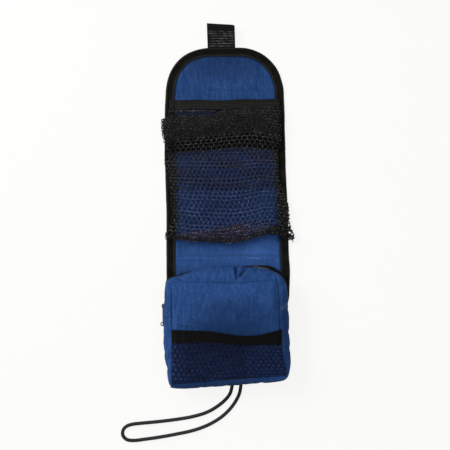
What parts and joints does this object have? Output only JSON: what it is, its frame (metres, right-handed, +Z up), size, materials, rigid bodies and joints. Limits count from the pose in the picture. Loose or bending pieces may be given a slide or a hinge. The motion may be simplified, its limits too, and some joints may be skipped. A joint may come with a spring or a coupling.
{
  "type": "hanging toiletry bag",
  "caption": "Fold-out hanging toiletry bag lying open: arched flap with webbing loop, net pocket, zipped pouch with net front pocket, elastic cord.",
  "frame": {"origin": "on the back face of the middle panel, on the surface that the opened bag lies on, on the centre line between the two side edges", "axes": "+Y along the opened bag towards the hanging loop, +Z up from the back to the pouch's front, +X to the right seen from the front"},
  "size_m": [0.1835, 0.4543, 0.039],
  "materials": {
    "blue_cloth": "woven polyester, matt",
    "blue_lining": "woven polyester, matt",
    "foam_padding": "soft foam sheet",
    "black_binding": "ribbed binding tape",
    "black_net": "knitted hexagonal net",
    "black_webbing": "ribbed webbing",
    "black_elastic": "braided elastic cord",
    "zip_tape": "herringbone zip tape",
    "zip_coil": "nylon zip chain",
    "zip_metal": "black enamel"
  },
  "bodies": {
    "pouch": {"pouch_back_shell": "blue_cloth", "pouch_padding": "foam_padding", "pouch_lining": "blue_lining", "pouch_binding": "black_binding", "lower_gusset": "blue_cloth", "lower_front_panel": "blue_cloth", "zip_tape_lower": "zip_tape", "zip_teeth_lower": "zip_coil", "zip_end_stops": "zip_metal", "front_net": "black_net", "front_net_band": "black_binding", "elastic_cord": "black_elastic"},
    "lid": {"upper_gusset": "blue_cloth", "upper_front_panel": "blue_cloth", "zip_tape_upper": "zip_tape", "zip_teeth_upper": "zip_coil"},
    "slider": {"zip_slider": "zip_metal"},
    "pull": {"zip_pull": "zip_metal"},
    "middle": {"middle_back_shell": "blue_cloth", "middle_padding": "foam_padding", "middle_lining": "blue_lining", "middle_binding": "black_binding", "net_pocket": "black_net", "net_band": "black_binding", "net_fold": "black_net", "net_hem": "black_net"},
    "flap": {"flap_back_shell": "blue_cloth", "flap_padding": "foam_padding", "flap_lining": "blue_lining", "flap_binding": "black_binding"},
    "loop": {"hanging_loop": "black_webbing"}
  },
  "joints": [
    {"name": "panel_fold", "type": "hinge", "parent": "pouch", "child": "middle", "pos_m": [0, -0.056, 0.0039], "axis": [1, 0, 0], "range_deg": [0, 105]},
    {"name": "flap_fold", "type": "hinge", "parent": "middle", "child": "flap", "pos_m": [0, 0.122, 0.0039], "axis": [1, 0, 0], "range_deg": [0, 135]},
    {"name": "loop_swing", "type": "hinge", "parent": "flap", "child": "loop", "pos_m": [0, 0.1712, 0.0039], "axis": [1, 0, 0], "range_deg": [0, 75]},
    {"name": "lid_open", "type": "hinge", "parent": "pouch", "child": "lid", "pos_m": [0, -0.118, 0.0338], "axis": [-1, 0, 0], "range_deg": [-40, 0]},
    {"name": "zip_slide", "type": "slide", "parent": "pouch", "child": "slider", "axis": [0, 1, 0], "range_m": [0, 0.015]},
    {"name": "pull_swing", "type": "hinge", "parent": "slider", "child": "pull", "pos_m": [-0.06855, -0.1081, 0.0097], "axis": [0, 0, -1], "range_deg": [0, 150]}
  ]
}
